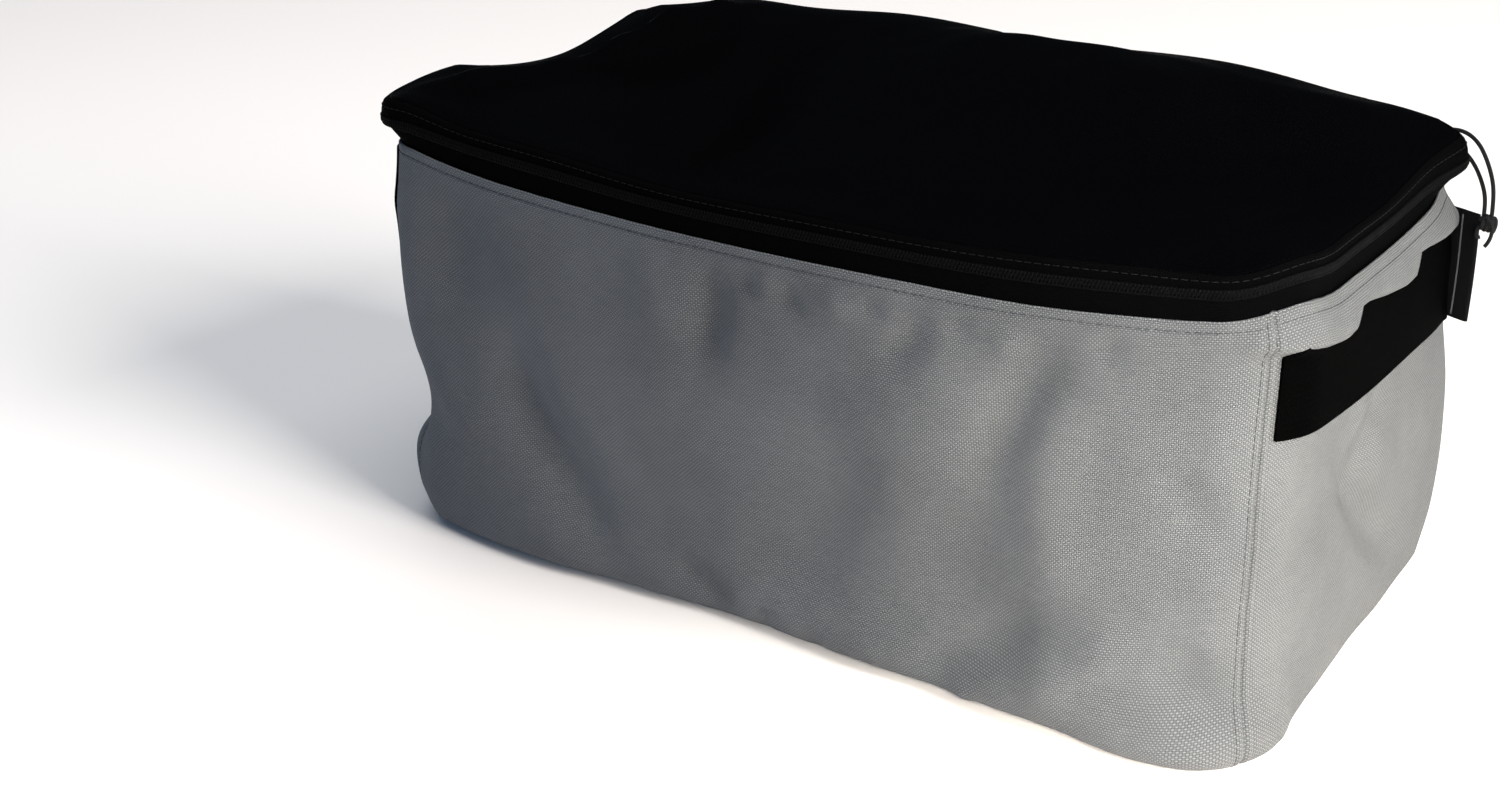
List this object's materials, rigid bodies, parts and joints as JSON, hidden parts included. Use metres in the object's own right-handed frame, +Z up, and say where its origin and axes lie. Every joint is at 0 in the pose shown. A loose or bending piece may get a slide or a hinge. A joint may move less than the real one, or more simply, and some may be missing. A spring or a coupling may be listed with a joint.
{
  "type": "box insert organizer",
  "caption": "Soft fabric box bag with a zip-round hinged lid, webbing end handles, a corded zip pull and a side label, made to drop into a storage box.",
  "frame": {"origin": "centre of the floor's underside", "axes": "+Z up, +X along the length towards the end with the side label, -Y towards the front"},
  "size_m": [0.526, 0.2618, 0.2484],
  "materials": {
    "grey_fabric": "coarse plain weave",
    "base_fabric": "coarse plain weave",
    "black_fabric": "coarse coated weave, faint sheen",
    "zip_tape": "fine woven tape",
    "zip_coil": "nylon coil",
    "binding_tape": "ribbed tape",
    "black_webbing": "ribbed webbing",
    "label_tape": "smooth woven tape",
    "black_cord": "braided cord",
    "dark_metal": "satin black"
  },
  "bodies": {
    "box": {"front_panel": "grey_fabric", "back_panel": "grey_fabric", "left_end_panel": "grey_fabric", "right_end_panel": "grey_fabric", "base_panel": "base_fabric", "front_left_seam_binding": "binding_tape", "front_right_seam_binding": "binding_tape", "rear_left_seam_binding": "binding_tape", "rear_right_seam_binding": "binding_tape", "base_seam_binding": "binding_tape", "lower_zip_tape": "zip_tape", "lower_zip_coil": "zip_coil", "hinge_gusset": "black_fabric", "zip_end_stop_left": "dark_metal", "zip_end_stop_right": "dark_metal", "left_handle": "black_webbing", "right_handle": "black_webbing"},
    "lid": {"lid_panel": "black_fabric", "upper_zip_tape": "zip_tape", "upper_zip_coil": "zip_coil", "lid_seam_binding": "binding_tape"},
    "slider": {"slider_body": "dark_metal"},
    "pull": {"pull_link": "dark_metal", "pull_cord_upper": "black_cord", "pull_cord_lower": "black_cord", "pull_cord_knot": "black_cord"},
    "label": {"side_label": "label_tape"}
  },
  "joints": [
    {"name": "lid_hinge", "type": "hinge", "parent": "box", "child": "lid", "pos_m": [0, 0.1196, 0.2344], "axis": [-1, 0, 0], "range_deg": [0, 160]},
    {"name": "slider_travel", "type": "slide", "parent": "box", "child": "slider", "axis": [1, 0, 0], "range_m": [0, 0.02]},
    {"name": "pull_swing", "type": "hinge", "parent": "slider", "child": "pull", "pos_m": [0.2076, 0.1232, 0.224], "axis": [0, 0, 1], "range_deg": [0, 150]},
    {"name": "label_fold", "type": "hinge", "parent": "box", "child": "label", "pos_m": [0.2456, 0.1169, 0.171], "axis": [0, 0, 1], "range_deg": [0, 80]}
  ]
}
